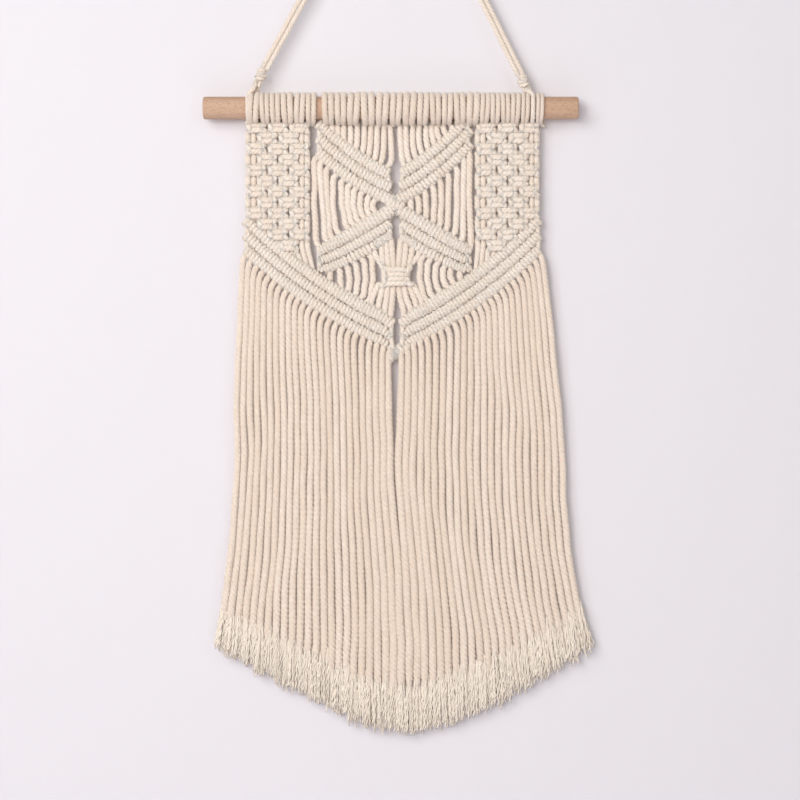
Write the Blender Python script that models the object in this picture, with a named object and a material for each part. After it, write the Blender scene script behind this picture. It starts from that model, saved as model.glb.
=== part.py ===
"""Macrame wall hanging on a wooden dowel, with its hanging cord.

Blender 4.5, metres, +Z up, +X to the right, the front facing -Y. The origin is the hanging
point, the underside of the hanging cord where it bears on a nail, and the dowel's axis lies
below it. Sizes in this file are in millimetres. "drop" is the distance below the dowel's axis,
and "reach" is the distance sideways from the middle, to either side.
"""

import math

import bmesh
import bpy
from mathutils import Vector

MM = 0.001

# Driving sizes
GAP = 0.3
DOWEL_LENGTH = 300.0
DOWEL_RADIUS = 9.0
DOWEL_SHIFT = -5.0
DOWEL_CHAMFER = 1.2
NAIL_TO_DOWEL = 202.6
PANEL_Y = 4.0

# The right half hangs a little narrower than the left one
LEFT = -1.0
RIGHT = 0.94

# Heading: reverse lark's heads on the dowel, two wraps each; columns: from x, to x, heads
HEADING_RUNS = (
    (-119.6, -64.0, 6),
    (-60.0, 55.2, 11),
    (55.2, 66.2, 1),
    (66.2, 110.4, 5),
    (110.4, 117.2, 1),
)
WRAP_RADIUS = 12.8
WRAP_VALLEY = 10.9
WRAP_SIDES = 8
PANEL_TOP = WRAP_RADIUS + GAP

# Hitched bands: three rows of double half hitches, with a hitch for each strand they cross
ROWS = 3
BAND_HITCHES = 12
HITCH_DEPTH = 4.8
ROW_VALLEY = 3.0
EDGE_DEPTH = 1.6
HITCH_VALLEY = 0.74

# The X: corners of the left bands as (reach, drop), columns: top edge outer and inner end,
# bottom edge outer and inner end
CROSS_BANDS = {
    "upper": ((63.5, 9.0), (5.2, 48.0), (64.0, 44.5), (7.2, 77.0)),
    "lower": ((61.5, 110.0), (7.2, 79.6), (63.5, 141.0), (3.6, 104.0)),
}

BAND_TOP = 14.6

# The V: its lower edge falls as a shallow curve, and its outer half carries the nets
V_OUTER = 118.0
V_NET_REACH = 64.5
V_INNER_TOP = 4.8
V_INNER_BOTTOM = 1.0
V_LOWEST = 195.2
V_SLOPE = 0.36
V_CURVE = 0.0022
V_HEIGHT = 34.0
BAND_TO_V = 1.6

# Free strands: how far they bow away from the middle, at the outer and the inner hitch
STRAND_WIDTH = 4.2
STRAND_DEPTH = 2.3
STRAND_STEP = 11.0
STRAND_SLIM = 0.84
STRAND_ROUND = 1.45
UPPER_BULGE = (4.4, 0.8)
LOWER_BULGE = (0.6, -3.2)

# Nets of alternating square knots, four strands to a knot
NET_OUTER = 121.0
NET_INNER = 69.5
NET_TOP = 11.7
NET_ROW = 8.6
NET_ROWS = 14
NET_STRANDS = 12
KNOT_STRANDS = 4
NET_DEPTH = 5.0
NET_FALL = (1.1, 1.8)
NET_LEAST = 2.2
NET_EDGE = 1.8
NET_HOLE = (1.7, 2.5)
NET_HOLE_DEPTH = 2.0
NET_OVERLAP = 1.2

# Large knots; columns: middle x, middle drop, half width, half height, half depth
CROSSING = (-1.0, 77.9, 12.5, 7.0, 5.4)
CENTRE_KNOT = (1.4, 136.0, 11.4, 9.8, 6.0)
V_POINT = (0.4, 187.4, 7.5, 6.6, 5.2)
KNOT_SEAT = 5.6
KNOT_ENTRIES = 3
KNOT_PITCH = 3.5
KNOT_FIRST = 2.6
KNOT_STRAND_WIDTH = 3.0

# Fringe: 24 strands a side, their roots in a strip, their ends brushed out in two layers
SIDE_STRANDS = 24
STRIP_HEIGHT = 2.6
STRIP_DEPTH = 1.9
STRIP_DROP = 0.4
ROOT_GAP = 0.7
LEVEL_DROP = 235.0
LEVEL_OUTER = 131.0
LEVEL_INNER = 2.6
END_LEFT = -141.0
END_RIGHT = 158.0
TIP_MIDDLE = 7.0
TIP_LOWEST = 500.0
TIP_SLOPE = 0.5
TIP_ROUND = 40.0
FRAY = 40.0
LAYER_Y = 2.3
# columns: drop below the root, share of the way out to the level, width
CURL = ((9.0, 0.55, 3.9), (24.0, 0.92, 4.6))
LEVEL_WIDTH = 4.8
# share of the way from the level to the end, width
FRAY_START = (0.45, 5.0)
FRAY_END = (1.0, 10.0)
FRAY_DEPTH = 2.1

# Hanging cord: two cords side by side, from the left knot over the nail to the right knot,
# as (x, drop)
HANGER_WIDTH = 7.6
HANGER_STEP = 9.0
HANGER_ROUTE = (
    (-105.8, -31.6), (-95.7, -50.1), (-85.6, -68.6), (-75.4, -87.1), (-65.3, -105.6),
    (-55.2, -124.1), (-45.1, -142.6), (-34.9, -161.1), (-24.8, -179.6), (-14.7, -198.1),
    (-11.0, -202.6), (-6.0, -205.5), (-0.3, -206.4), (5.4, -205.2), (10.2, -202.1),
    (13.7, -197.5), (23.2, -178.5), (32.6, -159.4), (42.1, -140.4), (51.6, -121.4),
    (61.0, -102.3), (70.5, -83.3), (80.0, -64.3), (89.4, -45.2), (98.9, -26.2),
)
# Knots of the hanging cord, from the heading upwards; columns: x, drop, radius
CORD_KNOTS = {
    "cord_knot_left": (
        (-114.2, -13.2, 2.5), (-114.2, -16.0, 2.8), (-112.4, -19.4, 4.0), (-110.4, -22.9, 6.0),
        (-109.2, -25.3, 6.0), (-108.1, -27.3, 5.0), (-107.0, -29.3, 4.0), (-105.94, -31.34, 3.8),
    ),
    "cord_knot_right": (
        (104.6, -13.2, 2.5), (104.6, -15.0, 2.9), (103.4, -17.2, 4.8), (102.3, -19.4, 6.0),
        (101.1, -21.7, 5.6), (100.1, -23.9, 4.2), (99.03, -25.93, 3.8),
    ),
}


def place(x, y, drop):
    """World position of a point given in millimetres."""
    return Vector((x, y, -NAIL_TO_DOWEL - drop)) * MM


def mix(a, b, t):
    return a + (b - a) * t


def on_line(start, end, t):
    return mix(start[0], end[0], t), mix(start[1], end[1], t)


def remove_everything():
    for obj in list(bpy.data.objects):
        bpy.data.objects.remove(obj, do_unlink=True)


def make_material(name, colour, roughness):
    material = bpy.data.materials.new(name)
    material.use_nodes = True
    shader = material.node_tree.nodes["Principled BSDF"]
    shader.inputs["Base Color"].default_value = (*colour, 1.0)
    shader.inputs["Roughness"].default_value = roughness
    shader.inputs["Metallic"].default_value = 0.0
    material.diffuse_color = (*colour, 1.0)
    return material


def cotton(piece):
    return make_material("cotton cord, " + piece, (0.80, 0.72, 0.61), 0.95)


def beech():
    return make_material("beech rod", (0.62, 0.42, 0.26), 0.6)


def add_object(name, bm, material):
    """A bmesh as a named object, with its faces pointing out."""
    bmesh.ops.recalc_face_normals(bm, faces=bm.faces[:])
    mesh = bpy.data.meshes.new(name)
    bm.to_mesh(mesh)
    bm.free()
    obj = bpy.data.objects.new(name, mesh)
    bpy.context.scene.collection.objects.link(obj)
    mesh.materials.append(material)
    return obj


def fuse(obj, others):
    """Join closed meshes to obj by Boolean unions, and keep them as hidden guides."""
    for other in others:
        modifier = obj.modifiers.new("fuse " + other.name, "BOOLEAN")
        modifier.operation = "UNION"
        modifier.solver = "EXACT"
        modifier.object = other
        other.display_type = "WIRE"
        other.hide_render = True


# Outlines


def v_bottom(reach):
    """Drop of the V's lower edge, steeper at the sides than at its point."""
    return V_LOWEST - V_SLOPE * reach - V_CURVE * reach**2


def v_top(reach):
    return v_bottom(reach) - V_HEIGHT


def v_reach(t, inner):
    """Reach along the V, from its outer end to its inner one. The nets' strands stand closer."""
    if t < 0.5:
        return mix(V_OUTER, V_NET_REACH, t * 2)
    return mix(V_NET_REACH, inner, t * 2 - 1)


def tip_drop(x):
    """Drop of the cut ends: a shallow round point below the middle."""
    return TIP_LOWEST - TIP_SLOPE * (math.hypot(x - TIP_MIDDLE, TIP_ROUND) - TIP_ROUND)


# Slabs and strands


class Slab:
    """A lattice of points with a front and a back, walled where no strand joins it."""

    def __init__(self, bm, columns, lines, point, depth, holes=()):
        self.bm = bm
        self.columns = columns
        self.lines = lines
        self.holes = set(holes)
        self.joined = set()
        self.front = self.make_points(point, depth, -1)
        self.back = self.make_points(point, depth, 1)
        self.front_rims = self.make_rims(point, -1)
        self.back_rims = self.make_rims(point, 1)
        for points, rims in ((self.front, self.front_rims), (self.back, self.back_rims)):
            self.make_faces(points, rims)
        for hole in self.holes:
            self.wall_hole(self.front_rims[hole], self.back_rims[hole])

    def make_points(self, point, depth, sign):
        """The lattice's vertices on one side, none where a hole is."""
        points = []
        for i in range(self.columns + 1):
            column = []
            for j in range(self.lines + 1):
                x, drop = point(i, j)
                y = PANEL_Y + sign * depth(i, j)
                here = None if (i, j) in self.holes else self.bm.verts.new(place(x, y, drop))
                column.append(here)
            points.append(column)
        return points

    def make_rims(self, point, sign):
        """The four corners of each diamond hole on one side, towards +i, +j, -i and -j."""
        rims = {}
        for i, j in self.holes:
            x, drop = point(i, j)
            step = math.copysign(1.0, point(i + 1, j)[0] - x)
            wide, high = NET_HOLE
            corners = ((step * wide, 0.0), (0.0, high), (-step * wide, 0.0), (0.0, -high))
            y = PANEL_Y + sign * NET_HOLE_DEPTH
            rims[i, j] = [self.bm.verts.new(place(x + dx, y, drop + dz)) for dx, dz in corners]
        return rims

    def make_faces(self, points, rims):
        """A face for each cell. Where its corner is a hole, two of the hole's corners stand in."""
        for i in range(self.columns):
            for j in range(self.lines):
                ring = []
                for k, (di, dj) in enumerate(((0, 0), (1, 0), (1, 1), (0, 1))):
                    corner = (i + di, j + dj)
                    if corner in self.holes:
                        rim = rims[corner]
                        ring += [rim[(k + 1) % 4], rim[k]]
                    else:
                        ring.append(points[corner[0]][corner[1]])
                self.bm.faces.new(ring)

    def wall_hole(self, front, back):
        for k in range(4):
            n = (k + 1) % 4
            self.bm.faces.new((front[k], front[n], back[n], back[k]))

    def hitch_ring(self, hitch, line):
        """The six points of a hitch on a long edge, where a strand enters or leaves it."""
        self.joined.add((hitch, line))
        stations = range(2 * hitch, 2 * hitch + 3)
        front = [self.front[i][line] for i in stations]
        return front + [self.back[i][line] for i in reversed(stations)]

    def close(self):
        for line in (0, self.lines):
            for i in range(self.columns):
                if (i // 2, line) not in self.joined:
                    self.wall((i, line), (i + 1, line))
        for i in (0, self.columns):
            for j in range(self.lines):
                self.wall((i, j), (i, j + 1))

    def wall(self, a, b):
        front_a, front_b = self.front[a[0]][a[1]], self.front[b[0]][b[1]]
        back_a, back_b = self.back[a[0]][a[1]], self.back[b[0]][b[1]]
        self.bm.faces.new((front_a, front_b, back_b, back_a))


def strand_ring(bm, side, x, drop, width=STRAND_WIDTH):
    """Six points around a strand, in the order of a hitch's own ring."""
    half = math.copysign(width / 2, side)
    deep = STRAND_DEPTH
    around = (
        (half, -deep / 2),
        (0.0, -deep),
        (-half, -deep / 2),
        (-half, deep / 2),
        (0.0, deep),
        (half, deep / 2),
    )
    return [bm.verts.new(place(x + dx, PANEL_Y + dy, drop)) for dx, dy in around]


def skin(bm, rings, capped=()):
    """Faces from ring to ring, and a cap on each ring in capped."""
    for ring, after in zip(rings, rings[1:]):
        for k in range(len(ring)):
            n = (k + 1) % len(ring)
            bm.faces.new((ring[k], ring[n], after[n], after[k]))
    for ring in capped:
        bm.faces.new(ring)


def centre_of(ring):
    return sum((vert.co for vert in ring), Vector()) / len(ring)


def free_strand(bm, side, top, bottom, bulge):
    """A strand between two hitches. It bows away from the middle by bulge, and turns evenly
    from the one hitch's slope to the other's."""
    start, end = centre_of(top), centre_of(bottom)
    steps = min(3, 1 + int((start.z - end.z) / MM / STRAND_STEP))
    rings = [top]
    for step in range(1, steps + 1):
        t = step / (steps + 1)
        middle = start.lerp(end, t)
        middle.x += math.copysign(bulge, side * bulge) * math.sin(math.pi * t) * MM
        ring = []
        for a, b in zip(top, bottom):
            across = (a.co - start).lerp(b.co - end, t)
            across *= Vector((STRAND_SLIM, STRAND_ROUND, STRAND_SLIM))
            ring.append(bm.verts.new(middle + across))
        rings.append(ring)
    rings.append(bottom)
    skin(bm, rings)


# Sub-parts


def make_dowel():
    bm = bmesh.new()
    bmesh.ops.create_cone(
        bm,
        cap_ends=True,
        segments=32,
        radius1=DOWEL_RADIUS * MM,
        radius2=DOWEL_RADIUS * MM,
        depth=DOWEL_LENGTH * MM,
    )
    rims = [e for e in bm.edges if abs(e.verts[0].co.z - e.verts[1].co.z) < MM]
    bmesh.ops.bevel(
        bm, geom=rims, offset=DOWEL_CHAMFER * MM, segments=2, profile=0.5, affect="EDGES"
    )
    dowel = add_object("dowel", bm, beech())
    dowel.rotation_euler = (0.0, math.pi / 2, 0.0)
    dowel.location = place(DOWEL_SHIFT, 0.0, 0.0)
    dowel.data.shade_smooth()
    dowel.data.set_sharp_from_angle(angle=math.radians(30))


def heading_stations():
    """Pairs of x and radius along the heading, a crest for each wrap of the cord."""
    stations = []
    for start, end, heads in HEADING_RUNS:
        wrap = (end - start) / heads / 2
        if not stations or stations[-1][0] < start:
            stations.append((start, WRAP_VALLEY))
        for k in range(2 * heads):
            stations.append((start + wrap * (k + 0.5), WRAP_RADIUS))
            stations.append((start + wrap * (k + 1), WRAP_VALLEY))
    return stations


def ring_around_dowel(bm, x, radius):
    turns = [2 * math.pi * k / WRAP_SIDES for k in range(WRAP_SIDES)]
    return [
        bm.verts.new(place(x, radius * math.sin(turn), -radius * math.cos(turn)))
        for turn in turns
    ]


def make_heading():
    """The row of lark's heads: a ridged sleeve that the dowel passes through."""
    bm = bmesh.new()
    bore = (DOWEL_RADIUS + GAP) / math.cos(math.pi / WRAP_SIDES)
    stations = heading_stations()
    rings = [ring_around_dowel(bm, x, radius) for x, radius in stations]
    inner = [ring_around_dowel(bm, stations[end][0], bore) for end in (-1, 0)]
    skin(bm, rings + inner + [rings[0]])
    add_object("heading", bm, cotton("heading"))


def hitch_depth(i, j):
    """Half the depth of a band: its rows are ridges along it, its hitches ridges across."""
    if j in (0, 2 * ROWS):
        depth = EDGE_DEPTH
    else:
        depth = HITCH_DEPTH if j % 2 else ROW_VALLEY
    return depth if i % 2 else depth * HITCH_VALLEY


def make_cross_band(bm, side, corners):
    top_outer, top_inner, bottom_outer, bottom_inner = corners

    def point(i, j):
        t = i / (2 * BAND_HITCHES)
        top = on_line(top_outer, top_inner, t)
        top = top[0], max(top[1], BAND_TOP)
        bottom = on_line(bottom_outer, bottom_inner, t)
        bottom = bottom[0], min(bottom[1], v_top(bottom[0]) - BAND_TO_V)
        reach, drop = on_line(top, bottom, j / (2 * ROWS))
        return side * reach, drop

    return Slab(bm, 2 * BAND_HITCHES, 2 * ROWS, point, hitch_depth)


def make_v_band(bm, side):
    hitches = 2 * BAND_HITCHES

    def point(i, j):
        down = j / (2 * ROWS)
        reach = v_reach(i / (2 * hitches), mix(V_INNER_TOP, V_INNER_BOTTOM, down))
        return side * reach, mix(v_top(reach), v_bottom(reach), down)

    return Slab(bm, 2 * hitches, 2 * ROWS, point, hitch_depth)


def hang_top_strands(bm, side, upper):
    """Strands from the heading down to the upper band."""
    for hitch in range(BAND_HITCHES):
        end = upper.hitch_ring(hitch, 0)
        top = strand_ring(bm, side, centre_of(end).x / MM, PANEL_TOP)
        skin(bm, [top, end], capped=[top])


def hang_side_strands(bm, side, upper, lower, vee):
    """Free strands that bow between the bands, and those that go to the middle knot."""
    for hitch in range(BAND_HITCHES):
        inward = hitch / (BAND_HITCHES - 1)
        leaving = upper.hitch_ring(hitch, 2 * ROWS)
        free_strand(bm, side, leaving, lower.hitch_ring(hitch, 0), mix(*UPPER_BULGE, inward))
        leaving = lower.hitch_ring(hitch, 2 * ROWS)
        arriving = vee.hitch_ring(BAND_HITCHES + hitch, 0)
        place_in_knot = BAND_HITCHES - 1 - hitch
        if place_in_knot < KNOT_ENTRIES:
            join_middle_knot(bm, side, leaving, arriving, place_in_knot)
        else:
            free_strand(bm, side, leaving, arriving, mix(*LOWER_BULGE, inward))


def join_middle_knot(bm, side, leaving, arriving, order):
    """A strand into the middle knot and one out of it, each ending inside the knot."""
    reach = KNOT_FIRST + KNOT_PITCH * order
    x = CENTRE_KNOT[0] + math.copysign(reach, side)
    for sign, end in ((-1, leaving), (1, arriving)):
        seat = CENTRE_KNOT[1] + sign * KNOT_SEAT
        inside = strand_ring(bm, side, x, seat, KNOT_STRAND_WIDTH)
        rings = [end, inside] if sign < 0 else [inside, end]
        skin(bm, rings, capped=[inside])


def net_point(side):
    def point(i, j):
        reach = mix(NET_OUTER, NET_INNER, i / NET_STRANDS)
        return side * reach, max(PANEL_TOP, NET_TOP + NET_ROW / 2 * j)

    return point


def net_columns(row):
    """Lattice columns of the knots' middles: rows of three knots and rows of two in turn."""
    first = KNOT_STRANDS // 2 if row % 2 == 0 else KNOT_STRANDS
    return range(first, NET_STRANDS, KNOT_STRANDS)


def net_depth(i, j):
    """Half the depth of a net, highest at the middle of each knot."""
    if i in (0, NET_STRANDS):
        return NET_EDGE
    rows = (j // 2,) if j % 2 else (j // 2 - 1, j // 2)
    sideways = min(abs(i - column) for row in rows for column in net_columns(row))
    return max(NET_LEAST, NET_DEPTH - NET_FALL[0] * sideways - NET_FALL[1] * (1 - j % 2))


def net_holes():
    """Lattice points between neighbouring knots of a row, as far down as the V's top edge."""
    holes = []
    for row in range(NET_ROWS):
        columns = list(net_columns(row))
        for column in [(a + b) // 2 for a, b in zip(columns, columns[1:])]:
            reach, drop = net_point(1.0)(column, 2 * row + 1)
            if drop + NET_HOLE[1] < v_top(reach) - NET_HOLE[1]:
                holes.append((column, 2 * row + 1))
    return holes


def make_net(name, side):
    """A panel of square knots, cut off along the V's top edge."""
    bm = bmesh.new()
    net = Slab(bm, NET_STRANDS, 2 * NET_ROWS, net_point(side), net_depth, net_holes())
    net.close()
    outer = place(side * NET_OUTER, 0.0, v_top(NET_OUTER) + NET_OVERLAP)
    inner = place(side * NET_INNER, 0.0, v_top(NET_INNER) + NET_OVERLAP)
    along = inner - outer
    below = Vector((along.z, 0.0, -along.x))
    below *= -math.copysign(1.0, below.z)
    cut = bmesh.ops.bisect_plane(
        bm, geom=bm.verts[:] + bm.edges[:] + bm.faces[:], plane_co=outer, plane_no=below,
        clear_outer=True,
    )
    bmesh.ops.contextual_create(bm, geom=[e for e in cut["geom_cut"] if e.is_valid])
    return add_object(name, bm, cotton(name))


def make_big_knot(name, shape):
    """A large knot: a rounded lump of crossing cords."""
    x, drop, wide, high, deep = shape
    bm = bmesh.new()
    bmesh.ops.create_uvsphere(bm, u_segments=12, v_segments=7, radius=MM)
    bmesh.ops.scale(bm, vec=(wide, deep, high), verts=bm.verts)
    bmesh.ops.translate(bm, vec=place(x, PANEL_Y, drop), verts=bm.verts)
    return add_object(name, bm, cotton(name))


def make_knotwork():
    """The bands and strands as one mesh, with the nets and the large knots fused to it."""
    bm = bmesh.new()
    for side in (LEFT, RIGHT):
        upper = make_cross_band(bm, side, CROSS_BANDS["upper"])
        lower = make_cross_band(bm, side, CROSS_BANDS["lower"])
        vee = make_v_band(bm, side)
        hang_top_strands(bm, side, upper)
        hang_side_strands(bm, side, upper, lower, vee)
        for band in (upper, lower, vee):
            band.close()
    knotwork = add_object("knotwork", bm, cotton("knotwork"))
    others = [
        make_big_knot("crossing", CROSSING),
        make_big_knot("centre_knot", CENTRE_KNOT),
        make_big_knot("v_point", V_POINT),
        make_net("left_net", LEFT),
        make_net("right_net", RIGHT),
    ]
    fuse(knotwork, others)


def fringe_roots():
    """Root of each strand from left to right, as x, root width and x at the fringe's level."""
    roots = []
    for side in (LEFT, RIGHT):
        for k in range(SIDE_STRANDS):
            reach = v_reach((k + 0.5) / SIDE_STRANDS, V_INNER_BOTTOM)
            pitch = abs(v_reach((k + 1) / SIDE_STRANDS, V_INNER_BOTTOM) - reach) * 2
            level = mix(LEVEL_OUTER, LEVEL_INNER, k / (SIDE_STRANDS - 1))
            width = abs(side) * pitch - ROOT_GAP
            roots.append((side * reach, width, math.copysign(level, side)))
    return sorted(roots)


def make_fringe():
    """A strip under the V's lower edge, and the strands drawn down from it."""
    bm = bmesh.new()
    roots = fringe_roots()
    rings = []
    for x, width, _ in roots:
        for edge in (x - width / 2, x + width / 2):
            top = v_bottom(abs(edge) / (RIGHT if edge > 0 else 1.0)) + STRIP_DROP
            ring = [
                bm.verts.new(place(edge, PANEL_Y + y, top + z))
                for y, z in (
                    (-STRIP_DEPTH, 0.0),
                    (STRIP_DEPTH, 0.0),
                    (STRIP_DEPTH, STRIP_HEIGHT),
                    (-STRIP_DEPTH, STRIP_HEIGHT),
                )
            ]
            rings.append(ring)
    skin(bm, rings, capped=(rings[0], rings[-1]))
    undersides = [bm.faces.get((*a[2:], b[3], b[2])) for a, b in zip(rings[::2], rings[1::2])]
    for order, (face, root) in enumerate(zip(undersides, roots)):
        draw_strand(bm, face, root, order)
    add_object("fringe", bm, cotton("fringe"))


def draw_strand(bm, face, root, order):
    """Draw one strand down from its face of the strip, section by section."""
    x, _, level = root
    end = mix(END_LEFT, END_RIGHT, order / (2 * SIDE_STRANDS - 1))
    layer = LAYER_Y if order % 2 else -LAYER_Y
    start = -centre_of(face.verts).z / MM - NAIL_TO_DOWEL
    tip = tip_drop(end)
    # columns: x, y, drop, width, half depth
    sections = [
        (mix(x, level, share), 0.0, start + down, width, STRIP_DEPTH)
        for down, share, width in CURL
    ]
    sections.append((level, 0.0, LEVEL_DROP, LEVEL_WIDTH, STRIP_DEPTH))
    for share, width, height in ((*FRAY_START, FRAY), (*FRAY_END, 0.0)):
        sections.append((mix(level, end, share), layer, tip - height, width, FRAY_DEPTH))
    middle = place(x, PANEL_Y, start)
    signs = [
        (math.copysign(0.5, (v.co - middle).x), math.copysign(1.0, (v.co - middle).y))
        for v in face.verts
    ]
    for at, y, drop, width, deep in sections:
        face = bmesh.ops.extrude_discrete_faces(bm, faces=[face])["faces"][0]
        for vert, (across, through) in zip(face.verts, signs):
            vert.co = place(at + across * width, PANEL_Y + y + through * deep, drop)


def smooth_route(points, step):
    """Points about a step apart on a Catmull-Rom curve through the given ones."""
    route = [Vector(p) for p in points]
    padded = [2 * route[0] - route[1], *route, 2 * route[-1] - route[-2]]
    smooth = []
    for a, b, c, d in zip(padded, padded[1:], padded[2:], padded[3:]):
        pieces = max(1, round((c - b).length / step))
        for k in range(pieces):
            t = k / pieces
            smooth.append(
                0.5 * (2 * b + (c - a) * t + (2 * a - 5 * b + 4 * c - d) * t**2
                       + (3 * b - a - 3 * c + d) * t**3)
            )
    return smooth + [route[-1]]


def make_tube(name, points, radii, material):
    """A closed tube along points given as (x, drop), with a radius for each point."""
    curve = bpy.data.curves.new(name, "CURVE")
    curve.dimensions = "3D"
    curve.bevel_depth = MM
    curve.bevel_resolution = 2
    curve.use_fill_caps = True
    spline = curve.splines.new("POLY")
    spline.points.add(len(points) - 1)
    for point, (x, drop), radius in zip(spline.points, points, radii):
        point.co = (*place(x, 0.0, drop), 1.0)
        point.radius = radius
    obj = bpy.data.objects.new(name, curve)
    bpy.context.scene.collection.objects.link(obj)
    curve.materials.append(material)


def make_hanging_cord():
    route = smooth_route(HANGER_ROUTE, HANGER_STEP)
    radii = [HANGER_WIDTH / 2] * len(route)
    make_tube("hanging_cord", route, radii, cotton("hanging cord"))
    for name, rows in CORD_KNOTS.items():
        points = [(x, drop) for x, drop, _ in rows]
        radii = [radius for _, _, radius in rows]
        make_tube(name, points, radii, cotton(name))


def main():
    remove_everything()
    make_dowel()
    make_heading()
    make_knotwork()
    make_fringe()
    make_hanging_cord()


main()
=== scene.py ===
"""Macrame wall hanging: every cord of it as its own twisted strand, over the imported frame.

Sizes are in millimetres unless a name says otherwise. "drop" is the distance below the dowel's
axis, and "reach" the distance sideways from the middle, to either side. The front faces -Y.
"""

import math

import bpy
import numpy as np
from bpy.props import FloatProperty, IntProperty, PointerProperty, StringProperty
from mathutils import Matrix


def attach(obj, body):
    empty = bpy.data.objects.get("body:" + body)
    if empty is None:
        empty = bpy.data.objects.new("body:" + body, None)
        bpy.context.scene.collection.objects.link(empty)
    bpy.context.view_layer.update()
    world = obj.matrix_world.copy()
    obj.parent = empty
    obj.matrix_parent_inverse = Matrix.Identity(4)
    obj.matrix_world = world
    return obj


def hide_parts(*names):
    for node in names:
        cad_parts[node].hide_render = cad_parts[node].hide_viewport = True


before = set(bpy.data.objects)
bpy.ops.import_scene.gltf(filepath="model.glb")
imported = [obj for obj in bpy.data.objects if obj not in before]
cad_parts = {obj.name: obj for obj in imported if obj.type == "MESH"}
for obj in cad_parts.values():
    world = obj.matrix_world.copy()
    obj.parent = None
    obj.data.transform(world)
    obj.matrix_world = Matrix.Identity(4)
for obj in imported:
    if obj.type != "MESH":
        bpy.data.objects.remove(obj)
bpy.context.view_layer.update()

bl_info = {
    "name": "Macrame Wall Hanging",
    "version": (1, 0, 0),
    "blender": (4, 5, 0),
    "location": "View3D > Sidebar > Macrame",
    "description": "Knots a cotton wall hanging cord by cord over its frame, and sets its stage",
    "category": "Object",
}

MM = 0.001
TURN = 2 * math.pi
NAIL_TO_DOWEL = 202.6
PANEL_Y = 4.0

# The panel's right half is a little narrower than its left
SIDES = (("left", -1.0), ("right", 0.94))

# Strands a side in the X and in the V, and the rows of hitches in each of their bands
X_STRANDS = 12
V_STRANDS = 24
ROWS = range(3)

# Three plies laid up left-handed: the ring's radii, from a ply's crown round to the groove
PLIES = np.array([1.0, 0.95, 0.81, 0.95] * 3)
PLY_TURN = 12.0
# Length of cord that one unit of its UV map stands for
UV_LENGTH = 100.0

# Edges of the heads on the dowel, from the left
HEADS = (
    (-119.6, -109.6), (-109.6, -101.6), (-101.6, -92.8), (-92.8, -82.4), (-82.4, -72.8),
    (-72.8, -64.2), (-60.0, -50.0), (-50.0, -40.0), (-40.0, -29.2), (-29.2, -17.2),
    (-17.2, -6.0), (-6.0, 4.5), (4.5, 15.8), (15.8, 26.0), (26.0, 35.4), (35.4, 45.0),
    (45.0, 55.2), (55.2, 66.2), (66.2, 74.4), (74.4, 82.6), (82.6, 90.6), (90.6, 98.6),
    (98.6, 106.2), (110.6, 117.4),
)
# Half of a head, from its bar at the back round the front: degrees round the dowel, distance from
# the head's middle in cord radii, and distance from the dowel's axis
HEAD_WRAPS = (
    (-142, 0.0, 14.4), (-134, 0.7, 14.3), (-122, 0.8, 13.7), (-106, 0.76, 12.2), (-90, 0.75, 11.1),
    (-60, 0.85, 10.9), (-30, 0.96, 10.9), (0, 0.98, 10.9), (30, 0.97, 10.9), (60, 1.0, 10.9),
    (90, 1.0, 10.9), (120, 1.05, 10.9), (150, 1.12, 10.9), (180, 1.18, 10.9), (205, 1.22, 10.8),
)

# Where the strands leave the heading for the middle of the panel, from the outer one inwards
MIDDLE_STARTS = {
    "left": (-60.5, -57.3, -52.6, -47.8, -42.4, -37.6, -32.0, -26.4, -20.8, -16.0, -10.4, -5.6),
    "right": (57.9, 52.9, 48.3, 43.8, 36.6, 31.6, 27.4, 23.4, 17.8, 12.8, 7.0, 2.4),
}
# The strands beside the slot at the top hang straight before they turn out
SLOT_EDGE = {"left": (-4.9, -4.4, -4.8), "right": (2.6, 3.4, 4.4)}

# Free strands of the diamonds, from the outer one inwards. Columns: distance from the middle where
# each leaves the band above, halfway down, and where it goes into the band below
UPPER_DIAMOND = {
    "left": (
        (63.6, 66.4, 61.6), (60.2, 60.0, 55.4), (54.2, 56.3, 50.6), (47.2, 51.5, 44.6),
        (41.8, 44.5, 37.4), (36.4, 39.7, 33.0), (31.6, 35.1, 28.8), (26.6, 30.1, 24.4),
        (21.4, 24.3, 20.6), (16.6, 19.3, 16.6),
    ),
    "right": (
        (57.6, 58.2, 58.8), (52.4, 53.4, 51.2), (45.6, 48.5, 43.7), (39.6, 41.3, 38.1),
        (33.0, 35.7, 32.5), (27.2, 30.1, 27.5), (21.2, 23.5, 21.9), (15.0, 17.7, 16.1),
        (10.0, 11.3, 10.7),
    ),
}
LOWER_DIAMOND = {
    "left": (
        (54.0, 53.8, 54.4), (47.2, 45.1, 45.6), (41.4, 38.0, 40.6), (35.4, 31.4, 35.0),
        (29.6, 24.8, 30.4), (23.8, 18.8, 25.4),
    ),
    "right": (
        (50.8, 50.4, 52.0), (43.8, 42.8, 46.7), (39.0, 36.8, 41.9), (33.9, 30.4, 36.4),
        (28.2, 23.8, 30.8), (23.1, 18.2, 25.7),
    ),
}
# Strands of the big knot: where each leaves the band above it, and enters the V below it
KNOT_STRANDS = {
    "left": ((17.6, 20.4), (12.2, 14.6), (8.0, 9.6), (4.4, 4.8)),
    "right": ((17.2, 19.6), (11.9, 15.0), (7.0, 10.4), (2.6, 5.4)),
}
KNOT_MIDDLE = (-0.8, 134.8)

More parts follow.
